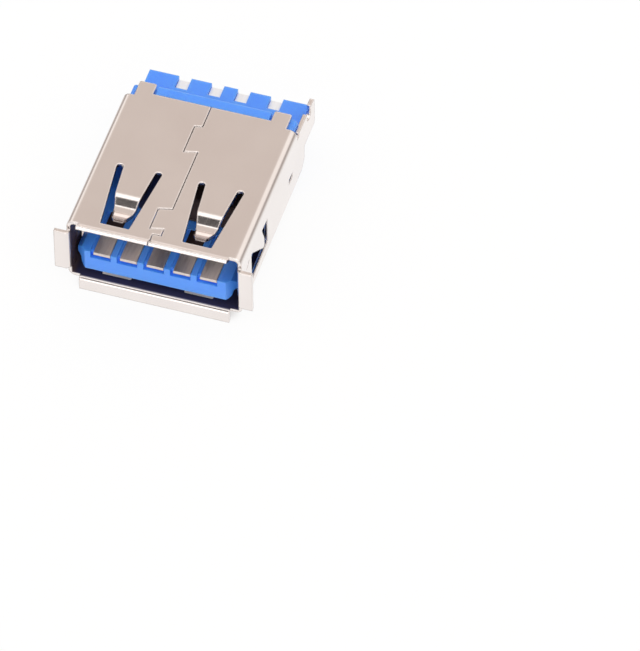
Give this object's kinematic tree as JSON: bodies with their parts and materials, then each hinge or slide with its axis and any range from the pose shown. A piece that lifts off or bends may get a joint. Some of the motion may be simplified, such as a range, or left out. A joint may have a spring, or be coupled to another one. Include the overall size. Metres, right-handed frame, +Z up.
{
  "type": "usb-a socket",
  "caption": "Rectangular data socket: a folded metal shell with spring windows and flared lips round a blue contact tongue, with solder tails at the rear.",
  "frame": {"origin": "centre of the mouth: the middle of the shell's opening, in the plane where its folded corners end", "axes": "+X right, +Y rearward along the plug's way in, +Z up, square to the roof"},
  "size_m": [0.0148, 0.0186, 0.0069],
  "materials": {
    "nickel": "satin nickel plate",
    "blue_plastic": "semi-matte moulded",
    "plated": "satin plate",
    "tinned": "tinned"
  },
  "bodies": {
    "root": {"shell": "nickel", "insulator": "blue_plastic", "flat_contact_1": "plated", "flat_contact_2": "plated", "flat_contact_3": "plated", "flat_contact_4": "plated", "flat_contact_5": "plated", "spring_contact_1": "tinned", "spring_contact_2": "tinned", "spring_contact_3": "tinned", "spring_contact_4": "tinned"}
  },
  "joints": []
}
